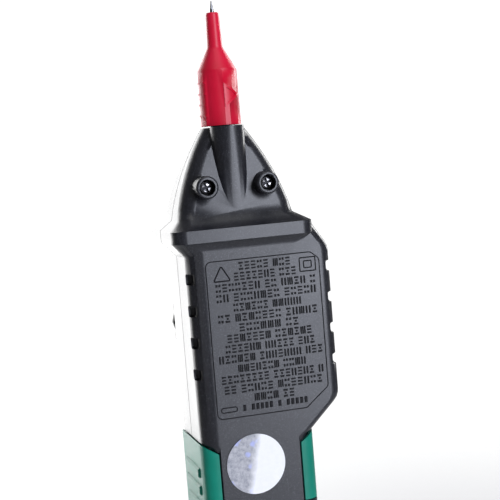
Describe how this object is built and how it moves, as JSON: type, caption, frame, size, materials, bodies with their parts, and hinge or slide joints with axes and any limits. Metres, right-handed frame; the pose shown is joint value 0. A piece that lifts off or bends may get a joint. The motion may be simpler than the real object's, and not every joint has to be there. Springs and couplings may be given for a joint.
{
  "type": "pen-type voltage tester",
  "caption": "Pen-type electrical tester with a guarded needle, belted nose, side bulge with a rotary dial, small display, grips and a battery cover on its back.",
  "frame": {"origin": "centre of the overall box at the flat end it stands on", "axes": "+Z along the tool from the flat end to the needle; +Y out of the flat back; -Y out of the dial and display; the bulge points to -X"},
  "size_m": [0.038, 0.029, 0.208],
  "materials": {
    "black_shell": "fine sparkling grain, satin",
    "green_grip": "smooth matte over-mould",
    "red_guard": "satin moulded",
    "bright_steel": "polished",
    "screw_steel": "blackened, cross recess worn bright",
    "spring_steel": "bright nickel plate",
    "brass": "plain",
    "board": "solder mask",
    "clear_window": "clear, polished",
    "display_glass": "grey-green liquid crystal cell",
    "black_rubber": "matte",
    "grey_key": "satin",
    "silver_label": "mottled silver foil",
    "fuse_glass": "white ceramic tube",
    "cell_skin": "shrunk film",
    "red_lens": "clear red"
  },
  "bodies": {
    "root": {"front_shell": "black_shell", "back_shell": "black_shell", "grip_left": "green_grip", "grip_right": "green_grip", "probe_needle": "bright_steel", "probe_holder": "black_rubber", "probe_contact_spring": "brass", "field_sensor_plate": "brass", "sensor_lamp_lens": "red_lens", "nose_screw_left": "screw_steel", "nose_screw_right": "screw_steel", "case_screw_left": "screw_steel", "case_screw_right": "screw_steel", "battery_left": "cell_skin", "battery_right": "cell_skin", "battery_spring_left": "spring_steel", "battery_spring_right": "spring_steel", "contact_plate_left": "spring_steel", "contact_plate_right": "spring_steel", "battery_link_plate": "spring_steel", "fuse_body": "fuse_glass", "fuse_cap_left": "spring_steel", "fuse_cap_right": "spring_steel", "fuse_clip_left": "brass", "fuse_clip_right": "brass", "jack_sleeve": "black_rubber", "jack_contact": "brass", "key_mat": "black_rubber", "display_window": "clear_window", "display_glass": "display_glass", "zebra_strip": "black_rubber", "circuit_board": "board", "meter_chip": "black_rubber", "buzzer_disc": "black_rubber", "quality_label": "silver_label"},
    "dial": {"function_dial": "black_shell", "dial_rotor": "grey_key", "wiper_inner": "brass", "wiper_outer": "brass"},
    "left_button": {"button_left": "grey_key"},
    "middle_button": {"button_middle": "grey_key"},
    "right_button": {"button_right": "grey_key"},
    "guard": {"tip_guard": "red_guard"},
    "cover": {"battery_cover": "black_shell", "cover_screw": "screw_steel"}
  },
  "joints": [
    {"name": "dial_turn", "type": "hinge", "parent": "root", "child": "dial", "pos_m": [-0.0016, -0.0109, 0.1313], "axis": [0, -1, 0], "range_deg": [-90, 90]},
    {"name": "left_button_press", "type": "slide", "parent": "root", "child": "left_button", "axis": [0, 1, 0], "range_m": [0, 0.0008], "stiffness_N_per_m": 800},
    {"name": "middle_button_press", "type": "slide", "parent": "root", "child": "middle_button", "axis": [0, 1, 0], "range_m": [0, 0.0008], "stiffness_N_per_m": 800},
    {"name": "right_button_press", "type": "slide", "parent": "root", "child": "right_button", "axis": [0, 1, 0], "range_m": [0, 0.0008], "stiffness_N_per_m": 800},
    {"name": "guard_pull_off", "type": "slide", "parent": "root", "child": "guard", "axis": [0, 0, 1], "range_m": [0, 0.03]},
    {"name": "cover_lift_off", "type": "slide", "parent": "root", "child": "cover", "axis": [0, 1, 0], "range_m": [0, 0.02]}
  ]
}
